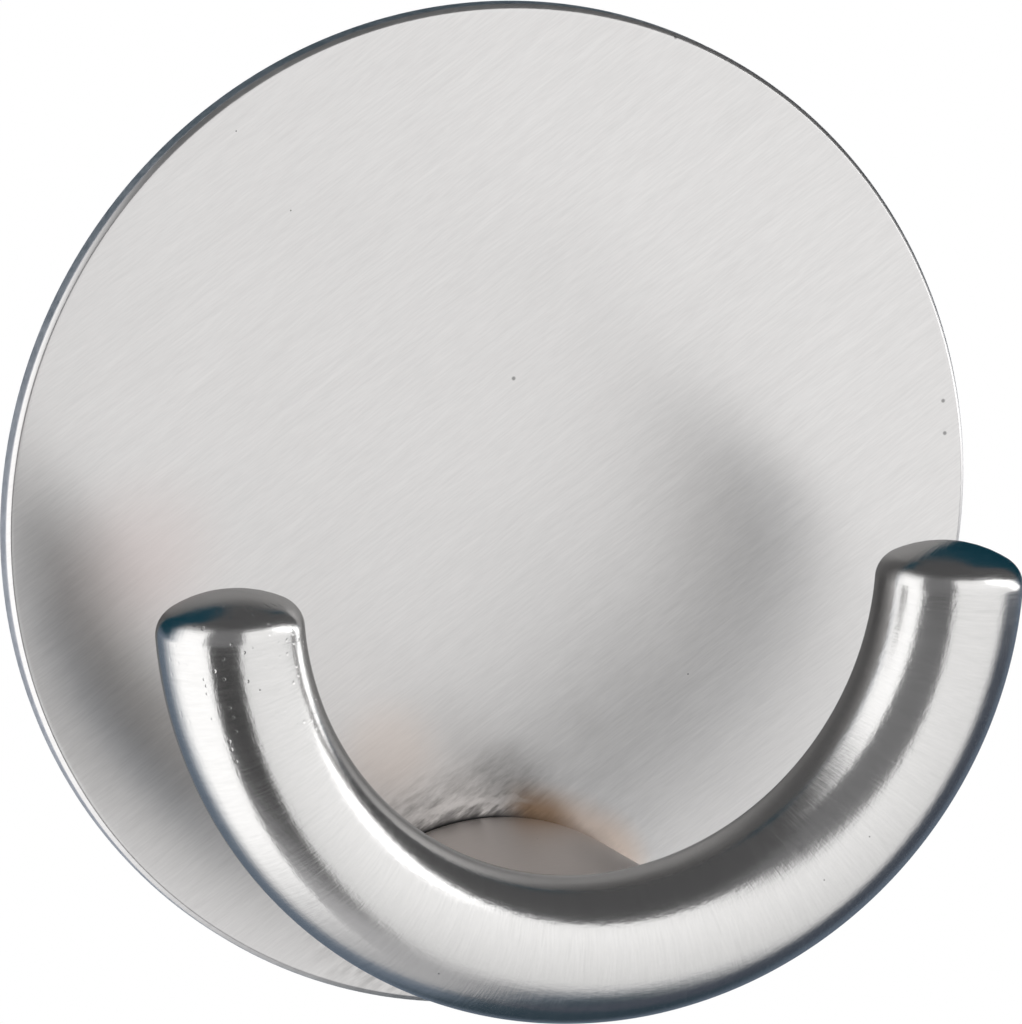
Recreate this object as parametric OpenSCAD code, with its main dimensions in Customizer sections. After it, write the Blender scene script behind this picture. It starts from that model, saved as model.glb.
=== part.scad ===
// Adhesive wall hook: a round brushed backplate on a foam mounting pad, with a U-shaped hook
// of round bar that stands in front of it on a short oval stem.
// Millimetres. The wall is the plane y = 0, the hook stands out from it towards -Y, and +Z is up.

/* [Backplate] */
// Diameter of the round backplate
plate_d = 55; // [46:0.5:80]
// Thickness of the backplate
plate_t = 1.2; // [0.8:0.1:3]
// Chamfer along the front edge of the backplate
plate_chamfer = 0.25; // [0.1:0.05:0.5]

/* [Adhesive pad] */
// Thickness of the foam pad
pad_t = 1; // [0.4:0.1:2]
// How far the edge of the pad stays inside the edge of the backplate
pad_margin = 2.5; // [1:0.5:6]

/* [Hook bar] */
// Diameter of the round bar
bar_d = 8; // [6.5:0.5:10]
// Distance between the centrelines of the two arms
arm_span = 41; // [32:0.5:60]
// Angle that the bar is bent through between its domed ends
bend_angle = 170; // [120:1:200]
// Height of each domed end
dome_h = 2.2; // [1.8:0.1:3]
// Rounding along the edge of each domed end
dome_round = 1.6; // [0.6:0.1:1.7]
// Distance from the face of the backplate to the centreline of the bar
reach = 16.5; // [13:0.5:40]

/* [Stem] */
// Distance from the bottom edge of the backplate up to the middle of the stem
stem_edge = 6.3; // [5.5:0.1:20]
// Width of the oval stem
stem_w = 15; // [12:0.5:20]
// Tight radius at the two ends of the oval
stem_end_r = 2.6; // [1.5:0.1:3]
// How far the top and bottom of the stem lie below the surface of the bar
stem_step = 0.1; // [0.05:0.05:0.5]

/* [Fixing screws] */
// Thread diameter of the two countersunk screws
screw_d = 3; // [2:0.5:3.5]
// Diameter of the countersunk head
head_d = 5.2; // [4.5:0.1:6]
// Length of a screw, with its head
screw_l = 8; // [5:1:10]
// Distance between the two screws
screw_pitch = 8; // [6.5:0.5:8.5]
// Width across the flats of the socket in the head
socket_w = 2; // [1.2:0.1:2.5]
// Depth of the socket in the head
socket_depth = 1; // [0.5:0.1:1.5]

/* [Fits] */
// Clearance all round a screw in its holes
screw_gap = 0.05; // [0.02:0.01:0.2]
// How far a screw head sits below the back of the backplate
head_recess = 0.1; // [0:0.05:0.3]
// Spare depth of a screw hole beyond the end of the screw
hole_spare = 0.6; // [0.2:0.1:1.5]
// Root gap of the weld between the stem and the bar
weld_gap = 0.03; // [0.02:0.01:0.1]

/* [Hidden] */
$fn = 96;

// How far a cut runs past the solid that it opens
overrun = 1;

// Heights above the wall
plate_back = pad_t;
plate_face = pad_t + plate_t;
bar_height = plate_face + reach;

pad_d = plate_d - 2 * pad_margin;

// The stem stands on the lower part of the backplate, and the bend rises from it
stem_y = stem_edge - plate_d / 2;
stem_h = bar_d - 2 * stem_step;
bend_r = arm_span / 2;
bend_y = stem_y + bend_r;
bend_start = 270 - bend_angle / 2;

// The head is a right-angled cone
head_h = (head_d - screw_d) / 2;
head_height = plate_back + head_recess;

steel = "silver";
bar_steel = "gainsboro";
foam = "whitesmoke";

// Turns a shape drawn on the wall, with +Z out of it and +Y up, to stand in the part's frame
module on_wall() {
    rotate([90, 0, 0]) children();
}

// Oval of four tangent arcs: a flat arc over each long side and a tight arc round each end
module oval(w, h, end_r) {
    end_x = w / 2 - end_r;
    flat_r = (end_x * end_x + h * h / 4 - end_r * end_r) / (h - 2 * end_r);
    meet_x = end_x * flat_r / (flat_r - end_r);
    intersection() {
        square([2 * meet_x, 2 * h], center = true);
        translate([0, h / 2 - flat_r]) circle(flat_r);
        translate([0, flat_r - h / 2]) circle(flat_r);
    }
    for (side = [-1, 1])
        translate([side * end_x, 0]) circle(end_r);
}

// Bent length of round bar, at its place in front of the wall
module bent_bar(d) {
    translate([0, bend_y, bar_height])
        rotate([0, 0, bend_start])
            rotate_extrude(angle = bend_angle)
                translate([bend_r, 0]) circle(d = d);
}

// Profile that turns into the domed end of the bar
module dome_profile() {
    intersection() {
        oval(bar_d, 2 * dome_h, dome_round);
        square(bar_d);
    }
}

// One arm of the hook: the bar from the middle of the bend up to its domed end
module arm() {
    intersection() {
        union() {
            bent_bar(bar_d);
            translate([0, bend_y, bar_height])
                rotate([0, 0, bend_start])
                    translate([bend_r, 0, 0])
                        rotate([90, 0, 0])
                            rotate_extrude() dome_profile();
        }
        translate([-arm_span, bend_y - arm_span, bar_height - bar_d])
            cube([arm_span, 2 * arm_span, 2 * bar_d]);
    }
}

// The two places on the back of the backplate where a screw goes in
module screw_places() {
    for (side = [-1, 1])
        translate([side * screw_pitch / 2, stem_y, head_height]) children();
}

// Countersunk screw of a given length, pointing away from the wall and grown all round by a gap
module screw_body(length, gap) {
    cylinder(d1 = head_d + 2 * gap, d2 = screw_d + 2 * gap, h = head_h);
    cylinder(d = screw_d + 2 * gap, h = length);
}

// Hole for one screw, open at the back of the backplate
module screw_hole() {
    screw_body(screw_l + hole_spare, screw_gap);
    translate([0, 0, -head_recess - overrun])
        cylinder(d = head_d + 2 * screw_gap, h = head_recess + overrun);
}

module adhesive_pad() {
    color(foam)
        on_wall()
            cylinder(d = pad_d, h = pad_t);
}

module backplate() {
    color(steel)
        on_wall()
            difference() {
                translate([0, 0, plate_back])
                    rotate_extrude()
                        polygon([
                            [0, 0],
                            [plate_d / 2, 0],
                            [plate_d / 2, plate_t - plate_chamfer],
                            [plate_d / 2 - plate_chamfer, plate_t],
                            [0, plate_t]
                        ]);
                screw_places() screw_hole();
            }
}

module fixing_screws() {
    color(steel)
        on_wall()
            screw_places()
                difference() {
                    screw_body(screw_l, 0);
                    translate([0, 0, -overrun])
                        cylinder(d = socket_w / cos(30), h = socket_depth + overrun, $fn = 6);
                }
}

module stem() {
    color(bar_steel)
        on_wall()
            difference() {
                translate([0, stem_y, plate_face])
                    linear_extrude(reach) oval(stem_w, stem_h, stem_end_r);
                bent_bar(bar_d + 2 * weld_gap);
                screw_places() screw_hole();
            }
}

module hook_bar() {
    color(bar_steel)
        on_wall()
            for (side = [0, 1])
                mirror([side, 0, 0]) arm();
}

adhesive_pad();
backplate();
fixing_screws();
stem();
hook_bar();
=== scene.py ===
import math

import bmesh
import bpy
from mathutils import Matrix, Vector


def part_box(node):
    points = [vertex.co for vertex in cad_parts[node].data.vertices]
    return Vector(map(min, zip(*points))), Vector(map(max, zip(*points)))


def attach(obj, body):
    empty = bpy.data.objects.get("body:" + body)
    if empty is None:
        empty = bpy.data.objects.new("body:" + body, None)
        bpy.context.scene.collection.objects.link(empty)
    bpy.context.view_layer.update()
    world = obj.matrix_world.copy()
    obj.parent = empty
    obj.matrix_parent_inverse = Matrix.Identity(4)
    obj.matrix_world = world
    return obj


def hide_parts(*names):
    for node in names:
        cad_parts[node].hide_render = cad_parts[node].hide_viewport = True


bl_info = {
    "name": "Adhesive Wall Hook",
    "version": (1, 0, 0),
    "blender": (4, 5, 0),
    "location": "View3D > Sidebar > Wall Hook",
    "description": "Builds the looks of a round brushed steel wall hook around its packed frame",
    "category": "Object",
}

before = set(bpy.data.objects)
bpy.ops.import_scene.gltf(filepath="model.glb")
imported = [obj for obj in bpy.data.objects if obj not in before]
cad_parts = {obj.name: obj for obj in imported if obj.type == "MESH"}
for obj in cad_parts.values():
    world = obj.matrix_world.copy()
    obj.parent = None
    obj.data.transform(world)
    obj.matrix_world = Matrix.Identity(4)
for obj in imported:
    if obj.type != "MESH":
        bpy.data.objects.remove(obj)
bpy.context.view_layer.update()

MM = 0.001
BODY = "root"

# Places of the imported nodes
PAD_LOW, PAD_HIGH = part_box("adhesive_pad")
PLATE_LOW, PLATE_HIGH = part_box("backplate")
SCREW_LOW, SCREW_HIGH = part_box("fixing_screws")
STEM_LOW, STEM_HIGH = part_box("stem")
BAR_LOW, BAR_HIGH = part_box("hook_bar")

PLATE_FACE = PLATE_LOW.y
PLATE_BACK = PLATE_HIGH.y
PLATE_MIDDLE = (PLATE_FACE + PLATE_BACK) / 2
PAD_MIDDLE = (PAD_LOW.y + PAD_HIGH.y) / 2
BAR_DEPTH = (BAR_LOW.y + BAR_HIGH.y) / 2
STEM_Z = (STEM_LOW.z + STEM_HIGH.z) / 2

# How finely the pieces are divided
RIM_SIDES = 256
BAR_SIDES = 96
BEND_STEPS = 200
DOME_STEPS = 18
STEM_SIDES = 192
SEAM_STEPS = 4
WELD_STEPS = 10
PAD_SIDES = 160
HOLE_SIDES = 96
PAD_CUTS = 5

# How near points are merged, what counts as nothing, and how blunt an edge is shaded smooth
MERGE_GAP = 0.0005 * MM
TINY = 1e-6
SMOOTH_ANGLE = math.radians(40)
STEM_SMOOTH_ANGLE = math.radians(50)

# How the stem ends inside the bar: just below its surface, and at a share of its radius
ROOT_EDGE = 0.02 * MM
ROOT_SHARE = 0.6

# Flat rings inside the edges of the backplate and of the foam pad
PLATE_RING = 0.15 * MM
PAD_RING = 0.6 * MM

# How square a face stands to the wall: flat on it, or no longer part of the cut edge
FLAT_ON_WALL = 0.999
PAST_EDGE = 0.6

# Stretches of a noise's values that are drawn out to a full range
NARROW_NOISE = (0.35, 0.65)
WIDE_NOISE = (0.3, 0.7)

# Marks on steel that wasn't brushed: raw on the edge and back of the backplate, turned on the screws
RAW_MARKS = {"lines_per_metre": 3000.0, "stretch": 1.0, "shades": (0.88, 1.08), "roughness": (0.5, 0.68)}
TURNED_MARKS = {"lines_per_metre": 5000.0, "stretch": 8.0, "shades": (0.85, 1.1), "roughness": (0.28, 0.42)}

# Marks on steel that was satin polished: mottled on the bar, finer and duller on the stem
BAR_MARKS = {"lines_per_metre": 7000.0, "roughness": 0.205, "mottled": True}
STEM_MARKS = {"lines_per_metre": 16000.0, "roughness": 0.34, "mottled": False}

# Sizes of the stage, in metres
FLOOR_SIZE = 12.0
SHADOW_INNER = 0.1
SHADOW_OUTER = 0.3
SURROUND_RADIUS = 0.3
LAMP_WIDTH = 0.3
LAMP_HEIGHT = 0.4
LAMP_DISTANCE = 0.8

# Width of the camera's sensor, in millimetres
SENSOR_WIDTH = 36.0

# Turn of the highlights on brushed steel, so that they spread across the grain
QUARTER_TURN = 0.25

BLACK = (0.0, 0.0, 0.0, 1.0)
WHITE = (1.0, 1.0, 1.0, 1.0)

# Painted shade: how much darker the brushed backplate's colour is painted where the bar mirrors it
MIRRORED_PLATE_SHADE = 0.4

# Marks of wear: where the bar is speckled, and the single pits of the backplate
SPECKLED_PLACE = Vector((BAR_LOW.x + 4.5 * MM, BAR_LOW.y + 1.0 * MM, BAR_HIGH.z - 4.0 * MM))
PLATE_PITS = (
    (1.4 * MM, 6.9 * MM),
    (26.2 * MM, 4.1 * MM),
    (26.3 * MM, 2.3 * MM),
    (10.7 * MM, 25.1 * MM),
)

# Marks above the stem: a grey patch of painted shade and a faint glow of heat tint
SHADE_ABOVE_STEM_PLACE = Vector((1.2 * MM, PLATE_FACE, STEM_HIGH.z + 2.0 * MM))
GLOW_PLACE = Vector((-5.8 * MM, PLATE_FACE, STEM_HIGH.z + 4.1 * MM))

# Painted reflection: a faint rose colour on the backplate behind the end of the left arm
ROSE_REFLECTION_PLACE = Vector((-20.0 * MM, PLATE_FACE, -1.8 * MM))


def number_setting(name, description, default, **kind):
    """Setting for a number, with its unit or subtype"""
    return bpy.props.FloatProperty(name=name, description=description, default=default, **kind)


def length_setting(name, description, default):
    """Setting for a length"""
    return number_setting(name, description, default, unit="LENGTH")


def angle_setting(name, description, degrees):
    """Setting for an angle, with its default in degrees"""
    return number_setting(name, description, math.radians(degrees), subtype="ANGLE")


def colour_setting(name, description, default):
    """Setting for a colour"""
    return bpy.props.FloatVectorProperty(
        name=name, description=description, default=default, size=3, subtype="COLOR"
    )


class HookSizes(bpy.types.PropertyGroup):
    """Sizes of the hook's pieces"""

    plate_radius: length_setting(
        "Plate radius",
        "Radius of the round backplate",
        min(-PLATE_LOW.x, PLATE_HIGH.x, -PLATE_LOW.z, PLATE_HIGH.z),
    )
    plate_chamfer: length_setting(
        "Plate chamfer", "Chamfer along the front edge of the backplate", 0.25 * MM
    )
    plate_edge: length_setting(
        "Plate edge rounding", "Rounding left on the edges of the backplate by polishing", 0.05 * MM
    )
    screw_gap: length_setting(
        "Screw clearance", "Clearance round a fixing screw in its holes", 0.05 * MM
    )
    screw_thread: length_setting("Screw thread", "Thread diameter of a fixing screw", 3 * MM)
    hole_spare: length_setting(
        "Spare depth", "Spare depth of a screw hole in the stem beyond the end of the screw", 0.6 * MM
    )
    pad_radius: length_setting("Pad radius", "Radius of the foam pad", PAD_HIGH.x)
    pad_bulge: length_setting(
        "Pad bulge", "How far the squeezed edge of the foam pad swells out", 0.12 * MM
    )
    bar_radius: length_setting("Bar radius", "Radius of the round bar", (BAR_HIGH.y - BAR_LOW.y) / 2)
    bend_radius: length_setting("Bend radius", "Radius of the bend, to the middle of the bar", 20.5 * MM)
    bend_angle: angle_setting(
        "Bend angle", "Angle that the bar is bent through between its domed ends", 170
    )
    dome_height: length_setting("Dome height", "Height of each domed end of the bar", 2.2 * MM)
    dome_round: length_setting(
        "Dome rounding", "Rounding along the edge of each domed end of the bar", 1.6 * MM
    )
    stem_width: length_setting("Stem width", "Width of the oval stem", STEM_HIGH.x - STEM_LOW.x)
    stem_height: length_setting(
        "Stem height",
        "Height of the oval stem, which is built up by welding to run into the bar",
        STEM_HIGH.z - STEM_LOW.z + 0.16 * MM,
    )
    stem_end_radius: length_setting(
        "Stem end radius", "Tight radius at the two ends of the oval stem", 2.6 * MM
    )
    stem_seam: length_setting(
        "Stem seam",
        "Rounding at the foot of the stem, which leaves a fine seam on the backplate",
        0.26 * MM,
    )
    weld_radius: length_setting(
        "Weld radius", "Radius of the dressed weld between the stem and the bar", 0.55 * MM
    )


class HookFinish(bpy.types.PropertyGroup):
    """Colours and finishes of the hook's pieces"""

    plate_steel: colour_setting(
        "Plate steel", "Colour of the brushed steel of the backplate", (0.663, 0.653, 0.647)
    )
    bar_steel: colour_setting(
        "Bar steel", "Colour of the satin polished steel of the bar", (0.62, 0.613, 0.606)
    )
    # Painted reflection: the stem's steel is given a lighter and warmer colour than the bar's, which stands
    # in for a warm reflection on it
    stem_steel_and_reflection: colour_setting(
        "Stem steel",
        "Colour of the satin steel of the stem, warmed by the heat of welding",
        (0.76, 0.69, 0.65),
    )
    # Grime and painted shade: the dark colour of the seam round the foot of the stem, and of the painted
    # shade above the stem
    grime_and_shade: colour_setting(
        "Grime",
        "Colour of the polishing grime in the seam round the foot of the stem",
        (0.03, 0.03, 0.03),
    )
    cut_edge: colour_setting(
        "Cut edge", "Colour of the bare steel along the cut edge of the backplate", (0.54, 0.55, 0.58)
    )
    rolled_back: colour_setting(
        "Rolled back", "Colour of the rolled steel on the back of the backplate", (0.63, 0.57, 0.51)
    )
    screw_steel: colour_setting(
        "Screw steel", "Colour of the steel of the fixing screws", (0.56, 0.56, 0.57)
    )
    weld_tint: colour_setting(
        "Weld tint", "Brown colour that the heat of welding leaves on the steel", (0.42, 0.27, 0.16)
    )
    straw_tint: colour_setting(
        "Straw tint", "Paler colour that the heat of welding leaves further out", (0.66, 0.54, 0.46)
    )
    # Painted reflection: a faint rose colour on the backplate behind the end of the left arm
    rose_reflection_tint: colour_setting(
        "Rose tint",
        "Faint colour on the backplate behind the end of the left arm",
        (0.632, 0.535, 0.515),
    )
    pit: colour_setting("Pit", "Colour inside the small pits of the steel", (0.12, 0.12, 0.12))
    foam: colour_setting("Foam", "Colour of the foam pad", (0.78, 0.78, 0.76))
    foam_cell: colour_setting("Foam cell", "Colour inside the cells of the foam pad", (0.50, 0.50, 0.48))
    grain_angle: angle_setting("Grain angle", "How far the grain of the backplate rises to the right", 34)


class HookStage(bpy.types.PropertyGroup):
    """Camera, floor, light and studio surround"""

    camera_azimuth: angle_setting(
        "Camera azimuth", "How far the camera stands round to the right of the front", -19.4021
    )
    camera_elevation: angle_setting(
        "Camera elevation", "How far the camera stands above the horizon", 11.0673
    )
    camera_distance: length_setting(
        "Camera distance", "Distance from the camera to the point that it looks at", 1.3
    )
    camera_aim: bpy.props.FloatVectorProperty(
        name="Camera aim",
        description="Point that the camera looks at",
        default=(1.248 * MM, -2.2 * MM, -0.4547 * MM),
        size=3,
        subtype="TRANSLATION",
    )
    camera_lens: number_setting(
        "Camera lens", "Focal length on a sensor 36 mm along its long side", 843.84, unit="CAMERA"
    )
    floor_drop: length_setting("Floor drop", "Height of the backplate above the floor", 0.36)
    floor_colour: colour_setting("Floor", "Colour of the pale floor", (0.90, 0.90, 0.90))
    fill_strength: number_setting(
        "Fill strength", "Strength of the white world where it lights matt surfaces", 0.35
    )
    lamp_power: number_setting(
        "Lamp power",
        "Power of each soft lamp in front, which lights matt surfaces and throws the shadow",
        1.6,
        unit="POWER",
    )
    back_lamp_power: number_setting(
        "Back lamp power",
        "Power of the soft lamp behind the hook, which lights the foam pad",
        3.6,
        unit="POWER",
    )
    left_panel: number_setting("Left panel", "Brightness of the light panel on the left", 1.62)
    right_panel: number_setting(
        "Right panel", "Brightness of the light panel in front, on the right, which dims downwards", 1.36
    )
    strip_panel: number_setting(
        "Strip panel", "Brightness of the narrow light panel that slants down to the right", 2.8
    )
    back_blue: colour_setting("Back surround", "Colour of the surround behind the hook", (0.2, 0.25, 0.32))
    back_teal: colour_setting(
        "Back right surround",
        "Colour of the surround behind the hook, on the right",
        (0.01, 0.06, 0.09),
    )
    low_navy: colour_setting(
        "Low surround", "Colour of the surround below the hook, on the right", (0.045, 0.075, 0.1)
    )
    right_grey: colour_setting(
        "Right surround", "Colour of the surround low on the right of the hook", (0.085, 0.1, 0.13)
    )
    top_grey: colour_setting("Top surround", "Colour of the surround above the hook", (0.11, 0.11, 0.112))
    front_grey: colour_setting(
        "Front surround",
        "Colour of the surround in front of the hook, between the panels",
        (0.24, 0.24, 0.245),
    )
    front_dark: colour_setting(
        "Dark front", "Colour of the dark patch low in front of the hook", (0.07, 0.07, 0.07)
    )
    low_grey: colour_setting(
        "Low front",
        "Colour of the light part of the surround below the hook, on the left",
        (0.6, 0.6, 0.61),
    )


def clear_selection():
    """Leaves edit mode and deselects everything"""
    if bpy.context.mode != "OBJECT":
        bpy.ops.object.mode_set(mode="OBJECT")
    bpy.ops.object.select_all(action="DESELECT")


def take_piece(name):
    """Names the primitive that was just added, and moves its place into its mesh"""
    piece = bpy.context.active_object
    piece.name = name
    piece.data.name = name
    bpy.ops.object.transform_apply(location=True, rotation=True, scale=True)
    return piece


def pick_edges(piece, test):
    """Selects, in edit mode, the edges whose two ends both pass a test"""
    bpy.ops.mesh.select_mode(type="EDGE")
    bpy.ops.mesh.select_all(action="DESELECT")
    shape = bmesh.from_edit_mesh(piece.data)
    for edge in shape.edges:
        edge.select_set(test(edge.verts[0].co) and test(edge.verts[1].co))
    bmesh.update_edit_mesh(piece.data)


def pick_faces(piece, test):
    """Selects, in edit mode, the faces that pass a test of middle and normal"""
    bpy.ops.mesh.select_mode(type="FACE")
    bpy.ops.mesh.select_all(action="DESELECT")
    shape = bmesh.from_edit_mesh(piece.data)
    for face in shape.faces:
        face.select_set(test(face.calc_center_median(), face.normal))
    bmesh.update_edit_mesh(piece.data)


def close_mesh():
    """Merges doubles and turns the faces outwards, then leaves edit mode"""
    bpy.ops.mesh.select_all(action="SELECT")
    bpy.ops.mesh.remove_doubles(threshold=MERGE_GAP)
    bpy.ops.mesh.normals_make_consistent(inside=False)
    bpy.ops.object.mode_set(mode="OBJECT")


def apply_modifier(piece, kind, **settings):
    """Adds a modifier with these settings and applies it"""
    bpy.context.view_layer.objects.active = piece
    modifier = piece.modifiers.new(kind.lower(), kind)
    for key, value in settings.items():
        setattr(modifier, key, value)
    bpy.ops.object.modifier_apply(modifier=modifier.name)


def near_turn(angle, base):
    """The same angle, a whole number of turns away, that lies nearest to a base angle"""
    return base + math.remainder(angle - base, 2 * math.pi)


def write_uv(piece, place):
    """Writes a UV map in metres: place gives u and v for a point, beside the middle of its face"""
    mesh = piece.data
    layer = mesh.uv_layers.new(name="surface")
    for face in mesh.polygons:
        middle = face.center
        for index in face.loop_indices:
            point = mesh.vertices[mesh.loops[index].vertex_index].co
            layer.data[index].uv = place(point, middle)


def finish_piece(piece, material, node):
    """Gives a piece its material, hangs it on the body and hides the imported node that it replaces"""
    piece.data.materials.clear()
    piece.data.materials.append(material)
    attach(piece, BODY)
    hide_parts(node)


def node(tree, kind, inputs=None, **settings):
    """Adds a shader node: an input takes a value, or an output socket that is linked to it"""
    made = tree.nodes.new(kind)
    for key, value in settings.items():
        setattr(made, key, value)
    for key, value in (inputs or {}).items():
        socket = made.inputs[key]
        if isinstance(value, bpy.types.NodeSocket):
            tree.links.new(value, socket)
        else:
            socket.default_value = value
    return made


def maths(tree, operation, first, second=0.0, clamp=False):
    """Output of a Math node"""
    made = node(tree, "ShaderNodeMath", {0: first, 1: second}, operation=operation, use_clamp=clamp)
    return made.outputs[0]


def times(tree, first, second):
    """Output of a Math node that multiplies"""
    return maths(tree, "MULTIPLY", first, second)


def remap(tree, value, low, high, to_low=0.0, to_high=1.0, smooth=False):
    """Output of a Map Range node"""
    inputs = {"Value": value, "From Min": low, "From Max": high, "To Min": to_low, "To Max": to_high}
    kind = "SMOOTHSTEP" if smooth else "LINEAR"
    return node(tree, "ShaderNodeMapRange", inputs, interpolation_type=kind).outputs[0]


def blend_colour(tree, factor, first, second):
    """Output of a Mix node between two colours"""
    return node(tree, "ShaderNodeMix", {0: factor, 6: first, 7: second}, data_type="RGBA").outputs[2]


def rgba(colour, level=1.0):
    """A colour with alpha, made lighter or darker by a level"""
    return (colour[0] * level, colour[1] * level, colour[2] * level, 1.0)


def noise(tree, vector, scale, detail=2.0, roughness=0.5):
    """Output of a Noise Texture node"""
    inputs = {"Vector": vector, "Scale": scale, "Detail": detail, "Roughness": roughness}
    return node(tree, "ShaderNodeTexNoise", inputs).outputs[0]


def new_group(name, values, outputs):
    """Starts a node group that takes a vector and values, and returns it with its input and output nodes"""
    group = bpy.data.node_groups.new(name, "ShaderNodeTree")
    group.interface.new_socket("Vector", in_out="INPUT", socket_type="NodeSocketVector")
    for label in values:
        group.interface.new_socket(label, in_out="INPUT", socket_type="NodeSocketFloat")
    for label in outputs:
        group.interface.new_socket(label, in_out="OUTPUT", socket_type="NodeSocketFloat")
    return group, node(group, "NodeGroupInput"), node(group, "NodeGroupOutput")


def grain_group():
    """Brushed grain along the first axis of a vector in metres: fine lines, longer scratches and clouds"""
    if "brushed_grain" in bpy.data.node_groups:
        return bpy.data.node_groups["brushed_grain"]
    group, start, end = new_group(
        "brushed_grain", ("Lines per Metre", "Stretch"), ("Grain", "Scratches", "Clouds")
    )
    vector = start.outputs["Vector"]
    lines = start.outputs["Lines per Metre"]
    shrink = maths(group, "DIVIDE", 1.0, start.outputs["Stretch"])
    squeeze = node(group, "ShaderNodeCombineXYZ", {0: shrink, 1: 1.0, 2: 1.0}).outputs[0]
    drawn = node(group, "ShaderNodeVectorMath", {0: vector, 1: squeeze}, operation="MULTIPLY").outputs[0]
    fine = noise(group, drawn, lines, detail=3.0, roughness=0.6)
    broad = noise(group, drawn, times(group, lines, 0.22), detail=2.0, roughness=0.5)
    both = maths(group, "ADD", times(group, fine, 0.65), times(group, broad, 0.35))
    apart = node(
        group, "ShaderNodeVectorMath", {0: drawn, 1: (0.37, 0.19, 0.53)}, operation="ADD"
    ).outputs[0]
    sparse = noise(group, apart, times(group, lines, 0.45), detail=1.0, roughness=0.4)
    clouds = noise(group, vector, times(group, lines, 0.012), detail=3.0, roughness=0.5)
    group.links.new(both, end.inputs["Grain"])
    group.links.new(remap(group, sparse, 0.66, 0.76), end.inputs["Scratches"])
    group.links.new(clouds, end.inputs["Clouds"])
    return group


def pit_group():
    """Small pits scattered over a surface"""
    if "steel_pits" in bpy.data.node_groups:
        return bpy.data.node_groups["steel_pits"]
    group, start, end = new_group("steel_pits", ("Cells per Metre", "Size", "Share"), ("Pits",))
    inputs = {"Vector": start.outputs["Vector"], "Scale": start.outputs["Cells per Metre"]}
    cells = node(group, "ShaderNodeTexVoronoi", inputs, voronoi_dimensions="2D")
    size = start.outputs["Size"]
    inner = times(group, size, 0.5)
    dot = remap(group, cells.outputs["Distance"], inner, size, 1.0, 0.0)
    draw = node(group, "ShaderNodeSeparateColor", {0: cells.outputs["Color"]}).outputs[0]
    chosen = maths(group, "LESS_THAN", draw, start.outputs["Share"])
    group.links.new(times(group, dot, chosen), end.inputs["Pits"])
    return group


def new_material(name):
    """Starts a material and returns it with its node tree and its shader"""
    material = bpy.data.materials.new(name)
    material.use_nodes = True
    tree = material.node_tree
    return material, tree, tree.nodes["Principled BSDF"]


def place_grain(tree, vector, lines_per_metre, stretch):
    """Places the brushed grain in a material and returns its outputs"""
    inputs = {"Vector": vector, "Lines per Metre": lines_per_metre, "Stretch": stretch}
    return node(tree, "ShaderNodeGroup", inputs, node_tree=grain_group()).outputs


def place_pits(tree, vector, cells_per_metre, size, share):
    """Places the small pits in a material and returns their mask"""
    inputs = {"Vector": vector, "Cells per Metre": cells_per_metre, "Size": size, "Share": share}
    return node(tree, "ShaderNodeGroup", inputs, node_tree=pit_group()).outputs["Pits"]


def distance_mask(tree, place, centre, inner, outer):
    """1 near a point on the piece, falling to 0 further away"""
    gap = node(tree, "ShaderNodeVectorMath", {0: place, 1: centre}, operation="DISTANCE").outputs["Value"]
    return remap(tree, gap, inner, outer, 1.0, 0.0, smooth=True)


def soft_range(tree, value, low, high, low_soft, high_soft):
    """1 between two values, falling softly to 0 outside them"""
    rise = remap(tree, value, low - low_soft, low, smooth=True)
    fall = remap(tree, value, high, high + high_soft, 1.0, 0.0, smooth=True)
    return times(tree, rise, fall)


def stem_gap(tree, place, sizes):
    """Distance on the backplate from the outline of the stem: the flat arcs, or the tight ends"""
    end_place, flat_radius, drop = oval_arcs(sizes.stem_width, sizes.stem_height, sizes.stem_end_radius)
    parts = node(tree, "ShaderNodeSeparateXYZ", {0: place})
    beside = maths(tree, "ABSOLUTE", parts.outputs["X"])
    above = maths(tree, "ABSOLUTE", maths(tree, "SUBTRACT", parts.outputs["Z"], STEM_Z))
    spot = node(tree, "ShaderNodeCombineXYZ", {0: beside, 1: above, 2: 0.0}).outputs[0]
    gaps = []
    for centre, radius in (((0, -drop, 0), flat_radius), ((end_place, 0, 0), sizes.stem_end_radius)):
        reach = node(tree, "ShaderNodeVectorMath", {0: spot, 1: centre}, operation="DISTANCE")
        gaps.append(maths(tree, "SUBTRACT", reach.outputs["Value"], radius))
    meet = end_place * flat_radius / (flat_radius - sizes.stem_end_radius)
    at_end = maths(tree, "GREATER_THAN", beside, meet)
    step = times(tree, at_end, maths(tree, "SUBTRACT", gaps[1], gaps[0]))
    return maths(tree, "ADD", gaps[0], step)


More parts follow.
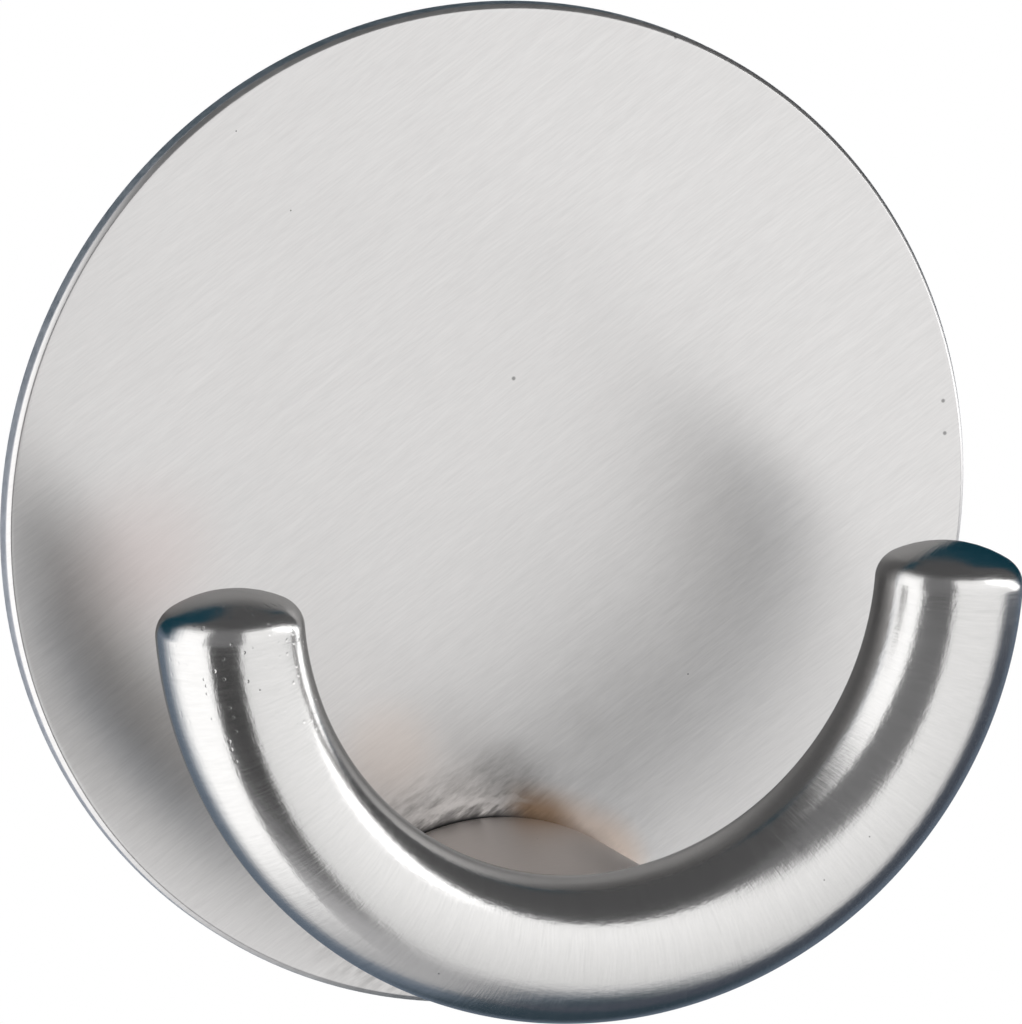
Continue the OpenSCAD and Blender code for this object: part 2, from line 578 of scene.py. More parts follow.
def weld_marks_and_painted_light(tree, colour, surface, place, gap, clouds, finish):
    """Marks round the foot of the stem: hatching, heat tints, a pale line, a painted rose reflection,
    painted shade above the stem, and grime and painted shade in the seam
    """
    parts = node(tree, "ShaderNodeSeparateXYZ", {0: place})
    beside = parts.outputs["X"]
    in_front = maths(tree, "LESS_THAN", parts.outputs["Y"], PLATE_MIDDLE)
    uneven = noise(tree, place, 900.0, detail=2.0, roughness=0.6)
    steel = finish.plate_steel

    def mark(colour, mask, paint):
        return blend_colour(tree, times(tree, mask, in_front), colour, paint)

    hatch = place_grain(tree, surface, lines_per_metre=3000.0, stretch=4.0)["Grain"]
    hatched = remap(tree, gap, 0.6 * MM, 4.5 * MM, 1.0, 0.0, smooth=True)
    hatched = times(tree, hatched, remap(tree, beside, 0.0, 5.0 * MM, 1.0, 0.3))
    dark_lines = times(tree, hatched, remap(tree, hatch, 0.58, 0.36, 0.0, 0.95))
    colour = mark(colour, dark_lines, rgba(steel, 0.5))
    glow = distance_mask(tree, place, GLOW_PLACE, 0.8 * MM, 3.8 * MM)
    colour = mark(colour, times(tree, glow, 0.3), rgba(finish.straw_tint))
    # Painted reflection: a faint rose colour behind the end of the left arm, mottled by the clouds
    painted_rose = distance_mask(tree, place, ROSE_REFLECTION_PLACE, 0.4 * MM, 6.4 * MM)
    painted_rose = times(tree, painted_rose, remap(tree, clouds, *NARROW_NOISE, 0.38, 0.5))
    colour = mark(colour, painted_rose, rgba(finish.rose_reflection_tint))
    heat = remap(tree, gap, 0.4 * MM, 2.4 * MM, 1.0, 0.0, smooth=True)
    heat = times(tree, heat, soft_range(tree, beside, 2.4 * MM, 9.0 * MM, 2.0 * MM, 1.0 * MM))
    heat = times(tree, heat, remap(tree, clouds, *NARROW_NOISE, 0.85, 1.0))
    straw = remap(tree, beside, 3.2 * MM, 5.6 * MM, smooth=True)
    colour = mark(colour, heat, blend_colour(tree, straw, rgba(finish.weld_tint), rgba(finish.straw_tint)))
    # Painted shade: a mottled grey patch on the backplate above the stem
    shade_above_stem = distance_mask(tree, place, SHADE_ABOVE_STEM_PLACE, 0.5 * MM, 3.0 * MM)
    shade_above_stem = times(tree, shade_above_stem, remap(tree, hatch, *NARROW_NOISE, 0.38, 0.2))
    colour = mark(colour, shade_above_stem, rgba(finish.grime_and_shade))
    # A pale line of lighter steel that wanders round the foot of the stem
    wander = maths(tree, "ADD", gap, remap(tree, uneven, *WIDE_NOISE, -0.16 * MM, 0.16 * MM))
    pale_line = soft_range(tree, wander, 0.85 * MM, 1.0 * MM, 0.2 * MM, 0.2 * MM)
    pale_line = times(tree, pale_line, soft_range(tree, beside, -7.0 * MM, 0.2 * MM, 1.0 * MM, 3.0 * MM))
    colour = mark(colour, times(tree, pale_line, 0.45), rgba(steel, 1.2))
    # Grime and painted shade in the seam round the foot of the stem, stronger on the left
    ragged = remap(tree, hatch, *NARROW_NOISE, 0.95 * MM, 0.25 * MM)
    seam = maths(tree, "SUBTRACT", 1.0, maths(tree, "DIVIDE", gap, ragged), clamp=True)
    seam = times(tree, seam, remap(tree, beside, 0.5 * MM, 4.0 * MM, 0.95, 0.2))
    return mark(colour, seam, rgba(finish.grime_and_shade))


def brush_shader(tree, shader, colour, rough, height, relief, depth, edge_level, drawn_out):
    """Links what varies over brushed steel to its shader, and sets what is the same all over"""
    tree.links.new(colour, shader.inputs["Base Color"])
    tree.links.new(rough, shader.inputs["Roughness"])
    bump = node(tree, "ShaderNodeBump", {"Height": height, "Strength": relief, "Distance": depth})
    tree.links.new(bump.outputs[0], shader.inputs["Normal"])
    tangent = node(tree, "ShaderNodeTangent", direction_type="UV_MAP", uv_map="surface")
    tree.links.new(tangent.outputs[0], shader.inputs["Tangent"])
    shader.inputs["Metallic"].default_value = 1.0
    shader.inputs["Specular Tint"].default_value = (edge_level, edge_level, edge_level, 1.0)
    shader.inputs["Anisotropic"].default_value = drawn_out
    shader.inputs["Anisotropic Rotation"].default_value = QUARTER_TURN


def brushed_plate(finish, sizes):
    """Brushed satin steel of the backplate, with the grain rising to the right"""
    material, tree, shader = new_material("plate_brushed_steel")
    surface = node(tree, "ShaderNodeUVMap", uv_map="surface").outputs[0]
    place = node(tree, "ShaderNodeTexCoord").outputs["Object"]
    grain = place_grain(tree, surface, lines_per_metre=7500.0, stretch=11.0)
    pits = place_pits(tree, surface, cells_per_metre=260.0, size=0.014, share=0.02)
    steel = finish.plate_steel
    lines = remap(tree, grain["Grain"], *NARROW_NOISE)
    colour = blend_colour(tree, lines, rgba(steel, 0.935), rgba(steel, 1.055))
    scratches = times(tree, grain["Scratches"], 0.3)
    colour = blend_colour(tree, scratches, colour, rgba(steel, 1.12))
    gap = stem_gap(tree, place, sizes)
    colour = weld_marks_and_painted_light(tree, colour, surface, place, gap, grain["Clouds"], finish)
    for x, z in PLATE_PITS:
        single = distance_mask(tree, place, (x, PLATE_FACE, z), 0.06 * MM, 0.15 * MM)
        pits = maths(tree, "MAXIMUM", pits, times(tree, single, 0.7))
    colour = blend_colour(tree, pits, colour, rgba(finish.pit))
    # Painted shade: the backplate is painted darker where the bar mirrors it, less near the stem and less
    # with each further bounce
    path = node(tree, "ShaderNodeLightPath")
    bounces = maths(tree, "MAXIMUM", path.outputs["Glossy Depth"], 1.0)
    mirrored_shade = maths(tree, "DIVIDE", MIRRORED_PLATE_SHADE, maths(tree, "POWER", bounces, 2.0))
    mirrored_shade = times(tree, mirrored_shade, path.outputs["Is Glossy Ray"])
    mirrored_shade = times(tree, mirrored_shade, remap(tree, gap, 2.0 * MM, 7.0 * MM, 0.1, 1.0))
    colour = blend_colour(tree, mirrored_shade, colour, BLACK)
    rough = remap(tree, grain["Grain"], *WIDE_NOISE, 0.295, 0.345)
    rough = maths(tree, "ADD", rough, remap(tree, grain["Clouds"], *WIDE_NOISE, -0.01, 0.01))
    height = maths(tree, "SUBTRACT", grain["Grain"], pits)
    brush_shader(
        tree, shader, colour, rough, height, relief=0.25, depth=0.004 * MM, edge_level=0.6, drawn_out=0.85
    )
    return material


def satin_steel(name, steel, pit, lines_per_metre, roughness, mottled):
    """Satin polished steel with fine grain round the piece, mottled where the polish broke through"""
    material, tree, shader = new_material(name)
    surface = node(tree, "ShaderNodeUVMap", uv_map="surface").outputs[0]
    grain = place_grain(tree, surface, lines_per_metre, stretch=9.0)
    pits = place_pits(tree, surface, cells_per_metre=420.0, size=0.02, share=0.03)
    lines = remap(tree, grain["Grain"], *NARROW_NOISE)
    colour = blend_colour(tree, lines, rgba(steel, 0.965), rgba(steel, 1.03))
    scratches = times(tree, grain["Scratches"], 0.25)
    colour = blend_colour(tree, scratches, colour, rgba(steel, 0.86))
    colour = blend_colour(tree, pits, colour, rgba(pit))
    rough = remap(tree, grain["Grain"], *WIDE_NOISE, roughness - 0.03, roughness + 0.03)
    height = maths(tree, "SUBTRACT", times(tree, grain["Grain"], 0.8), pits)
    if mottled:
        squeeze = (1.0, 0.4, 1.0)
        drawn = node(tree, "ShaderNodeVectorMath", {0: surface, 1: squeeze}, operation="MULTIPLY")
        mottle = noise(tree, drawn.outputs[0], 3400.0, detail=3.0, roughness=0.6)
        height = maths(tree, "ADD", height, times(tree, mottle, 0.9))
        specks = place_pits(tree, surface, cells_per_metre=1800.0, size=0.2, share=0.32)
        place = node(tree, "ShaderNodeTexCoord").outputs["Object"]
        spoiled = distance_mask(tree, place, SPECKLED_PLACE, 2.5 * MM, 6.5 * MM)
        height = maths(tree, "SUBTRACT", height, times(tree, specks, spoiled))
    brush_shader(
        tree, shader, colour, rough, height, relief=0.35, depth=0.03 * MM, edge_level=0.7, drawn_out=0.4
    )
    return material


def unbrushed_steel(name, steel, lines_per_metre, stretch, shades, roughness):
    """Steel that was cut, rolled or turned and not brushed, with fine marks on it"""
    material, tree, shader = new_material(name)
    place = node(tree, "ShaderNodeTexCoord").outputs["Object"]
    grain = place_grain(tree, place, lines_per_metre, stretch)["Grain"]
    lines = remap(tree, grain, *NARROW_NOISE)
    colour = blend_colour(tree, lines, rgba(steel, shades[0]), rgba(steel, shades[1]))
    tree.links.new(colour, shader.inputs["Base Color"])
    tree.links.new(remap(tree, grain, *WIDE_NOISE, *roughness), shader.inputs["Roughness"])
    shader.inputs["Metallic"].default_value = 1.0
    return material


def foam_pad(finish):
    """Closed-cell foam with a tacky skin"""
    material, tree, shader = new_material("pad_closed_cell_foam")
    place = node(tree, "ShaderNodeTexCoord").outputs["Object"]
    depths = []
    for cells_per_metre, share in ((4200.0, 0.65), (9500.0, 0.35)):
        cells = node(tree, "ShaderNodeTexVoronoi", {"Vector": place, "Scale": cells_per_metre})
        depths.append(times(tree, cells.outputs["Distance"], share))
    walls = remap(tree, maths(tree, "ADD", *depths), 0.15, 0.65)
    colour = blend_colour(tree, walls, rgba(finish.foam_cell), rgba(finish.foam))
    tree.links.new(colour, shader.inputs["Base Color"])
    tree.links.new(remap(tree, walls, 0.0, 1.0, 0.75, 0.5), shader.inputs["Roughness"])
    bump = node(tree, "ShaderNodeBump", {"Height": walls, "Strength": 0.5, "Distance": 0.05 * MM})
    tree.links.new(bump.outputs[0], shader.inputs["Normal"])
    shader.inputs["Specular IOR Level"].default_value = 0.3
    return material


def turned_to_grain(x, z, angle):
    """Place on the backplate along the grain and across it"""
    along = x * math.cos(angle) + z * math.sin(angle)
    across = z * math.cos(angle) - x * math.sin(angle)
    return along, across


def drill_screw_holes(piece, sizes, sunk):
    """Cuts the two screw holes: countersinks through the backplate, or round holes in the stem"""
    head = (SCREW_HIGH.z - SCREW_LOW.z) / 2
    neck = sizes.screw_thread / 2 + sizes.screw_gap
    mouth = head + sizes.screw_gap
    overrun = 1.0 * MM
    past_neck = overrun / 4
    back = SCREW_HIGH.y + overrun
    if sunk:
        front = SCREW_HIGH.y - (mouth - neck) - past_neck
        wide, narrow = mouth + overrun, neck - past_neck
    else:
        front = SCREW_LOW.y - sizes.hole_spare
        wide, narrow = neck, neck
    for side in (-1, 1):
        clear_selection()
        bpy.ops.mesh.primitive_cone_add(
            vertices=HOLE_SIDES,
            radius1=wide,
            radius2=narrow,
            depth=back - front,
            location=(side * (SCREW_HIGH.x - head), (back + front) / 2, STEM_Z),
            rotation=(math.pi / 2, 0, 0),
        )
        cutter = take_piece("cutter")
        clear_selection()
        piece.select_set(True)
        apply_modifier(piece, "BOOLEAN", operation="DIFFERENCE", object=cutter, solver="EXACT")
        bpy.data.objects.remove(cutter, do_unlink=True)


def add_disc(name, sides, radius, front, back):
    """Adds a disc that lies parallel to the wall, and enters edit mode"""
    clear_selection()
    bpy.ops.mesh.primitive_cylinder_add(
        vertices=sides,
        radius=radius,
        depth=back - front,
        end_fill_type="NGON",
        location=(0, (front + back) / 2, 0),
        rotation=(math.pi / 2, 0, 0),
    )
    disc = take_piece(name)
    bpy.ops.object.mode_set(mode="EDIT")
    return disc


def model_backplate(sizes, finish):
    """A disc with a chamfered front edge, polished edges and two countersunk holes"""
    slack = 0.001 * MM
    plate = add_disc("brushed_backplate", RIM_SIDES, sizes.plate_radius, PLATE_FACE, PLATE_BACK)
    pick_edges(plate, lambda point: point.y < PLATE_FACE + slack)
    bpy.ops.mesh.bevel(offset=sizes.plate_chamfer, offset_type="OFFSET", segments=1, affect="EDGES")
    close_mesh()
    apply_modifier(
        plate,
        "BEVEL",
        width=sizes.plate_edge,
        segments=3,
        limit_method="ANGLE",
        angle_limit=math.radians(30),
        harden_normals=False,
    )
    bpy.ops.object.mode_set(mode="EDIT")
    for way in (-1, 1):
        pick_faces(plate, lambda middle, normal: normal.y * way > FLAT_ON_WALL)
        bpy.ops.mesh.inset(thickness=PLATE_RING)
    close_mesh()
    drill_screw_holes(plate, sizes, sunk=True)
    bpy.ops.object.shade_smooth_by_angle(angle=SMOOTH_ANGLE)
    angle = finish.grain_angle
    write_uv(plate, lambda point, middle: turned_to_grain(point.x, point.z, angle))
    return plate


def oval_arcs(width, height, end_radius):
    """Place of the tight ends of an oval, radius of its flat arcs and drop of their centres"""
    end_place = width / 2 - end_radius
    flat_radius = (end_place**2 + height**2 / 4 - end_radius**2) / (height - 2 * end_radius)
    return end_place, flat_radius, flat_radius - height / 2


def oval_point(turn, width, height, end_radius):
    """Point of an oval, beside its middle, where the outside faces that way"""
    end_place, flat_radius, drop = oval_arcs(width, height, end_radius)
    if abs(math.tan(turn)) * end_place < drop and abs(math.cos(turn)) > TINY:
        side = math.copysign(1, math.cos(turn))
        return side * end_place + end_radius * math.cos(turn), end_radius * math.sin(turn)
    side = math.copysign(1, math.sin(turn))
    return flat_radius * math.cos(turn), flat_radius * math.sin(turn) - side * drop


def dome_end(centre, way, sizes):
    """Extrudes the selected end ring of the bar into a low dome and closes it"""
    height = sizes.dome_height
    risen = 0.0
    width = sizes.bar_radius
    for step in range(1, DOME_STEPS):
        turn = step / DOME_STEPS * math.pi / 2
        out, rise = oval_point(turn, 2 * sizes.bar_radius, 2 * height, sizes.dome_round)
        bpy.ops.mesh.extrude_edges_move(TRANSFORM_OT_translate={"value": way * (rise - risen)})
        scale = out / width
        bpy.ops.transform.resize(value=(scale, scale, scale), center_override=centre + way * rise)
        risen = rise
        width = out
    bpy.ops.mesh.extrude_edges_move(TRANSFORM_OT_translate={"value": way * (height - risen)})
    bpy.ops.mesh.merge(type="CENTER")


def bend_centre(sizes):
    """Centre of the bend of the bar"""
    return Vector((0, BAR_DEPTH, STEM_Z + sizes.bend_radius))


def model_hook_bar(sizes):
    """Round bar spun through the bend, with a low dome extruded at each end"""
    radius = sizes.bar_radius
    bend = sizes.bend_radius
    centre = bend_centre(sizes)
    first = math.radians(270) - sizes.bend_angle / 2
    last = first + sizes.bend_angle
    slack = 0.01 * MM

    def on_axis(turn):
        return centre + Vector((bend * math.cos(turn), 0, bend * math.sin(turn)))

    def forward(turn):
        return Vector((-math.sin(turn), 0, math.cos(turn)))

    clear_selection()
    bpy.ops.mesh.primitive_circle_add(
        vertices=BAR_SIDES,
        radius=radius,
        fill_type="NOTHING",
        location=on_axis(first),
        rotation=(0, -first, 0),
    )
    bar = take_piece("satin_hook_bar")
    bpy.ops.object.mode_set(mode="EDIT")
    bpy.ops.mesh.select_all(action="SELECT")
    bpy.ops.mesh.spin(steps=BEND_STEPS, angle=sizes.bend_angle, center=centre, axis=(0, 1, 0))
    for turn, sign in ((last, 1), (first, -1)):
        ring = on_axis(turn)
        way = forward(turn) * sign

        def on_ring(point):
            return abs((point - ring).dot(way)) < slack and (point - ring).length < 2 * radius

        pick_edges(bar, on_ring)
        dome_end(ring, way, sizes)
    close_mesh()
    bpy.ops.object.shade_smooth()

    def around(point):
        out = math.hypot(point.x, point.z - centre.z) - bend
        return math.atan2(out, centre.y - point.y)

    def along(point):
        return math.atan2(point.x, centre.z - point.z)

    def place(point, middle):
        turn = near_turn(around(point), around(middle))
        return turn * radius, along(point) * bend

    write_uv(bar, place)
    return bar


def stem_ring(turn, sizes):
    """Points along the stem from its foot, over the dressed weld, into the bar, at one place round it"""
    x, rise = oval_point(turn, sizes.stem_width, sizes.stem_height, sizes.stem_end_radius)
    outward = Vector((math.cos(turn), 0, math.sin(turn)))
    side = Vector((x, 0, STEM_Z + rise))
    seam = sizes.stem_seam
    points = []
    for step in range(SEAM_STEPS + 1):
        bend = step / SEAM_STEPS * math.pi / 2
        inset = seam * (1 - math.sin(bend))
        points.append(side - outward * inset + Vector((0, PLATE_FACE - seam * (1 - math.cos(bend)), 0)))
    weld = sizes.weld_radius
    centre = bend_centre(sizes)
    ball = side + outward * weld
    spoke = Vector((ball.x, 0, ball.z - centre.z))
    axis_point = centre + spoke.normalized() * sizes.bend_radius
    miss = spoke.length - sizes.bend_radius
    reach = sizes.bar_radius + weld
    ball.y = BAR_DEPTH + math.sqrt(max(reach**2 - miss**2, 0.0))
    inward = (axis_point - ball).normalized()
    sweep = (-outward).angle(inward)
    for step in range(WELD_STEPS + 1):
        share = step / WELD_STEPS
        way = (-outward).slerp(inward, share) if sweep > TINY else inward
        points.append(ball + way * weld)
    surface = points[-1]
    for depth in (ROOT_EDGE, ROOT_SHARE * sizes.bar_radius):
        points.append(surface + inward * depth)
    return points


def model_stem(sizes):
    """Oval stem extruded ring by ring from the backplate, and flared into the bar like a dressed weld"""
    clear_selection()
    bpy.ops.mesh.primitive_circle_add(
        vertices=STEM_SIDES,
        radius=sizes.stem_height / 2,
        fill_type="NGON",
        location=(0, PLATE_FACE, STEM_Z),
        rotation=(math.pi / 2, 0, 0),
    )
    stem = take_piece("satin_stem")
    bpy.ops.object.mode_set(mode="EDIT")
    bpy.ops.mesh.select_mode(type="FACE")
    bpy.ops.mesh.select_all(action="SELECT")
    shape = bmesh.from_edit_mesh(stem.data)
    turn_layer = shape.verts.layers.float.new("turn")
    for vertex in shape.verts:
        vertex[turn_layer] = math.atan2(vertex.co.z - STEM_Z, vertex.co.x)
    bmesh.update_edit_mesh(stem.data)
    rings = len(stem_ring(0.0, sizes))
    for ring in range(rings):
        if ring > 0:
            bpy.ops.mesh.extrude_region_move(TRANSFORM_OT_translate={"value": (0, 0, 0)})
        shape = bmesh.from_edit_mesh(stem.data)
        turn_layer = shape.verts.layers.float["turn"]
        for vertex in shape.verts:
            if vertex.select:
                vertex.co = stem_ring(vertex[turn_layer], sizes)[ring]
        bmesh.update_edit_mesh(stem.data)
    close_mesh()
    drill_screw_holes(stem, sizes, sunk=False)
    bpy.ops.object.shade_smooth_by_angle(angle=STEM_SMOOTH_ANGLE)

    def around(point):
        return math.atan2(point.z - STEM_Z, point.x)

    def place(point, middle):
        turn = near_turn(around(point), around(middle))
        return turn * sizes.stem_width / 3, point.y

    write_uv(stem, place)
    return stem


def model_adhesive_pad(sizes):
    """Foam disc whose squeezed edge swells between two flat faces"""
    pad = add_disc("foam_pad", PAD_SIDES, sizes.pad_radius - sizes.pad_bulge, PAD_LOW.y, PAD_HIGH.y)
    pick_faces(pad, lambda middle, normal: abs(normal.y) > FLAT_ON_WALL)
    bpy.ops.mesh.inset(thickness=PAD_RING, use_individual=True)
    pick_edges(pad, lambda point: math.hypot(point.x, point.z) > sizes.pad_radius - PAD_RING / 2)
    half = (PAD_HIGH.y - PAD_LOW.y) / 2
    shape = bmesh.from_edit_mesh(pad.data)
    for edge in shape.edges:
        edge.select_set(edge.select and abs(edge.verts[0].co.y - edge.verts[1].co.y) > half)
    bmesh.update_edit_mesh(pad.data)
    bpy.ops.mesh.subdivide(number_cuts=PAD_CUTS)
    shape = bmesh.from_edit_mesh(pad.data)
    for vertex in shape.verts:
        out = math.hypot(vertex.co.x, vertex.co.z)
        level = (vertex.co.y - PAD_MIDDLE) / half
        if abs(level) < FLAT_ON_WALL:
            grow = 1 + sizes.pad_bulge * (1 - level**2) / out
            vertex.co.x *= grow
            vertex.co.z *= grow
    bmesh.update_edit_mesh(pad.data)
    close_mesh()
    bpy.ops.object.shade_smooth_by_angle(angle=SMOOTH_ANGLE)
    return pad


def white_background(tree):
    """1 for the rays that see the background: straight, in a reflection or through glass"""
    path = node(tree, "ShaderNodeLightPath")
    seen = maths(tree, "ADD", path.outputs["Is Camera Ray"], path.outputs["Is Glossy Ray"])
    return maths(tree, "ADD", seen, path.outputs["Is Transmission Ray"], clamp=True)


def build_world(stage):
    """White world, which is seen at full strength and lights matt surfaces at a lower one"""
    world = bpy.data.worlds.new("white_studio")
    bpy.context.scene.world = world
    world.use_nodes = True
    world.cycles.sampling_method = "NONE"
    tree = world.node_tree
    background = tree.nodes["Background"]
    background.inputs["Color"].default_value = WHITE
    strength = remap(tree, white_background(tree), 0.0, 1.0, stage.fill_strength, 1.0)
    tree.links.new(strength, background.inputs["Strength"])


def build_floor(stage):
    """Pale floor that is white to the eye, keeps the shadow near the hook and is clear from below"""
    clear_selection()
    level = PLATE_LOW.z - stage.floor_drop
    bpy.ops.mesh.primitive_plane_add(size=FLOOR_SIZE, location=(0, 0, level))
    floor = take_piece("pale_floor")
    material, tree, shader = new_material("pale_floor")
    shader.inputs["Base Color"].default_value = rgba(stage.floor_colour)
    shader.inputs["Roughness"].default_value = 0.9
    glow = node(tree, "ShaderNodeEmission", {"Color": WHITE, "Strength": 1.0})
    place = node(tree, "ShaderNodeTexCoord").outputs["Object"]
    near = distance_mask(tree, place, (0.0, BAR_DEPTH, level), SHADOW_INNER, SHADOW_OUTER)
    away = maths(tree, "SUBTRACT", 1.0, near)
    white = times(tree, white_background(tree), away)
    shown = node(tree, "ShaderNodeMixShader", {0: white, 1: shader.outputs[0], 2: glow.outputs[0]})
    clear = node(tree, "ShaderNodeBsdfTransparent")
    below = node(tree, "ShaderNodeNewGeometry").outputs["Backfacing"]
    sided = node(tree, "ShaderNodeMixShader", {0: below, 1: shown.outputs[0], 2: clear.outputs[0]})
    tree.links.new(sided.outputs[0], tree.nodes["Material Output"].inputs["Surface"])
    floor.data.materials.append(material)


def build_surround(stage):
    """Studio surround that only reflections see: soft light panels between darker walls"""
    clear_selection()
    bpy.ops.mesh.primitive_uv_sphere_add(segments=144, ring_count=72, radius=SURROUND_RADIUS)
    surround = take_piece("studio_surround")
    bpy.ops.object.shade_smooth()
    material, tree, shader = new_material("studio_surround")
    tree.nodes.remove(shader)
    place = node(tree, "ShaderNodeTexCoord").outputs["Object"]
    parts = node(tree, "ShaderNodeSeparateXYZ", {0: place})
    forward = times(tree, parts.outputs["Y"], -1.0)
    turn = maths(tree, "ARCTAN2", parts.outputs["X"], forward)
    azimuth = times(tree, turn, math.degrees(1))
    lift = maths(tree, "ARCSINE", maths(tree, "DIVIDE", parts.outputs["Z"], SURROUND_RADIUS))
    elevation = times(tree, lift, math.degrees(1))

    def area(left, right, low, high):
        """Mask of a soft area: each side is its place in degrees and how far it fades"""
        across = soft_range(tree, azimuth, left[0], right[0], left[1], right[1])
        upright = soft_range(tree, elevation, low[0], high[0], low[1], high[1])
        return times(tree, across, upright)

    # The strip runs along a slanting line between two places of the surround
    high_place = direction(math.radians(50), math.radians(33))
    low_place = direction(math.radians(110), math.radians(-5))
    slant = high_place.cross(low_place).normalized()
    across_slant = node(tree, "ShaderNodeVectorMath", {0: place, 1: slant}, operation="DOT_PRODUCT")
    aside = maths(tree, "ADD", across_slant.outputs["Value"], 15 * MM)
    under_slant = remap(tree, aside, 12 * MM, 30 * MM, 1.0, 0.0, smooth=True)
    strip = soft_range(tree, aside, -36 * MM, 20 * MM, 16 * MM, 10 * MM)
    strip = times(tree, strip, area((62, 22), (120, 8), (-8, 3), (80, 5)))
    right = area((1, 8), (110, 10), (-8, 4), (52, 6))
    right_low = area((-6, 5), (64, 22), (-42, 27), (-8, 4))
    right = times(tree, maths(tree, "ADD", right, right_low, clamp=True), under_slant)
    left = area((-92, 34), (-60, 5), (-8, 6), (26, 30))
    left_low = area((-102, 46), (-55, 5), (-46, 32), (-8, 6))
    left = maths(tree, "ADD", left, left_low, clamp=True)
    level = remap(tree, elevation, -50, 20, 0.72 * stage.right_panel, stage.right_panel)
    right_paint = node(tree, "ShaderNodeCombineXYZ", {0: level, 1: level, 2: level}).outputs[0]
    colour = rgba(stage.back_blue)
    for mask, paint in (
        (area((44, 26), (170, 20), (-100, 10), (-56, 20)), rgba(stage.low_navy)),
        (area((72, 20), (104, 24), (-100, 10), (-8, 10)), rgba(stage.right_grey)),
        (area((-200, 10), (200, 10), (45, 30), (100, 10)), rgba(stage.top_grey)),
        (area((60, 10), (130, 30), (10, 12), (100, 10)), rgba(stage.top_grey)),
        (area((122, 12), (200, 10), (-2, 8), (50, 8)), rgba(stage.back_teal)),
        (area((-200, 10), (-130, 20), (8, 10), (60, 10)), rgba(stage.back_teal)),
        (area((-70, 20), (10, 20), (-100, 10), (40, 20)), rgba(stage.front_grey)),
        (area((-46, 8), (0, 6), (-28, 12), (-14, 10)), rgba(stage.front_dark)),
        (area((-130, 30), (0, 20), (-100, 10), (-56, 18)), rgba(stage.low_grey)),
        (left, rgba(WHITE, stage.left_panel)),
        (right, right_paint),
        (strip, rgba(WHITE, stage.strip_panel)),
    ):
        colour = blend_colour(tree, mask, colour, paint)
    glow = node(tree, "ShaderNodeEmission", {"Color": colour, "Strength": 1.0})
    tree.links.new(glow.outputs[0], tree.nodes["Material Output"].inputs["Surface"])
    material.cycles.emission_sampling = "NONE"
    surround.data.materials.append(material)
    surround.visible_camera = False
    surround.visible_diffuse = False
    surround.visible_transmission = False
    surround.visible_volume_scatter = False
    surround.visible_shadow = False


def direction(azimuth, elevation):
    """Unit vector towards a place round the hook: azimuth 0 is the front and 90 the right"""
    flat = math.cos(elevation)
    return Vector((math.sin(azimuth) * flat, -math.cos(azimuth) * flat, math.sin(elevation)))


def build_lamp(name, azimuth, elevation, power):
    """Soft rectangular lamp that faces the hook and lights its matt surfaces"""
    lamp = bpy.data.lights.new(name, "AREA")
    lamp.shape = "RECTANGLE"
    lamp.size = LAMP_WIDTH
    lamp.size_y = LAMP_HEIGHT
    lamp.energy = power
    holder = bpy.data.objects.new(name, lamp)
    bpy.context.collection.objects.link(holder)
    way = direction(math.radians(azimuth), math.radians(elevation))
    holder.location = way * LAMP_DISTANCE
    holder.rotation_euler = way.to_track_quat("Z", "Y").to_euler()
    holder.visible_camera = False
    holder.visible_glossy = False


def build_camera(stage):
    """Camera at the photograph's place"""
    lens = bpy.data.cameras.new("camera")
    lens.lens = stage.camera_lens
    lens.sensor_width = SENSOR_WIDTH
    holder = bpy.data.objects.new("camera", lens)
    bpy.context.collection.objects.link(holder)
    back = direction(stage.camera_azimuth, stage.camera_elevation)
    holder.location = Vector(stage.camera_aim) + back * stage.camera_distance
    holder.rotation_euler = back.to_track_quat("Z", "Y").to_euler()
    bpy.context.scene.camera = holder


class WALLHOOK_OT_stage(bpy.types.Operator):
    """Makes the camera, the white world, the pale floor, the studio surround and three soft lamps"""

    bl_idname = "wallhook.stage"
    bl_label = "Stage"

    def execute(self, context):
        stage = context.scene.wallhook_stage
        context.scene.view_settings.view_transform = "Standard"
        build_camera(stage)
        build_world(stage)
        build_floor(stage)
        build_surround(stage)
        build_lamp("left_softbox", azimuth=-80, elevation=50, power=stage.lamp_power)
        build_lamp("right_softbox", azimuth=40, elevation=40, power=stage.lamp_power)
        build_lamp("back_softbox", azimuth=160, elevation=35, power=stage.back_lamp_power)
        return {"FINISHED"}


class WALLHOOK_OT_backplate(bpy.types.Operator):
    """Models the round backplate and gives it its brushed finish"""

    bl_idname = "wallhook.backplate"
    bl_label = "Backplate"

    def execute(self, context):
        sizes = context.scene.wallhook_sizes
        finish = context.scene.wallhook_finish
        plate = model_backplate(sizes, finish)
        finish_piece(plate, brushed_plate(finish, sizes), "backplate")
        for name, steel in (("plate_cut_edge", finish.cut_edge), ("plate_rolled_back", finish.rolled_back)):
            plate.data.materials.append(unbrushed_steel(name, steel, **RAW_MARKS))
        for face in plate.data.polygons:
            out = math.hypot(face.center.x, face.center.z)
            if face.normal.y > PAST_EDGE:
                face.material_index = 2
            elif out > sizes.plate_radius - 2 * sizes.plate_chamfer and face.normal.y > -PAST_EDGE:
                face.material_index = 1
        return {"FINISHED"}


class WALLHOOK_OT_hook_bar(bpy.types.Operator):
    """Models the bent bar with its domed ends"""

    bl_idname = "wallhook.hook_bar"
    bl_label = "Hook bar"

    def execute(self, context):
        bar = model_hook_bar(context.scene.wallhook_sizes)
        finish = context.scene.wallhook_finish
        material = satin_steel("bar_satin_steel", finish.bar_steel, finish.pit, **BAR_MARKS)
        finish_piece(bar, material, "hook_bar")
        return {"FINISHED"}


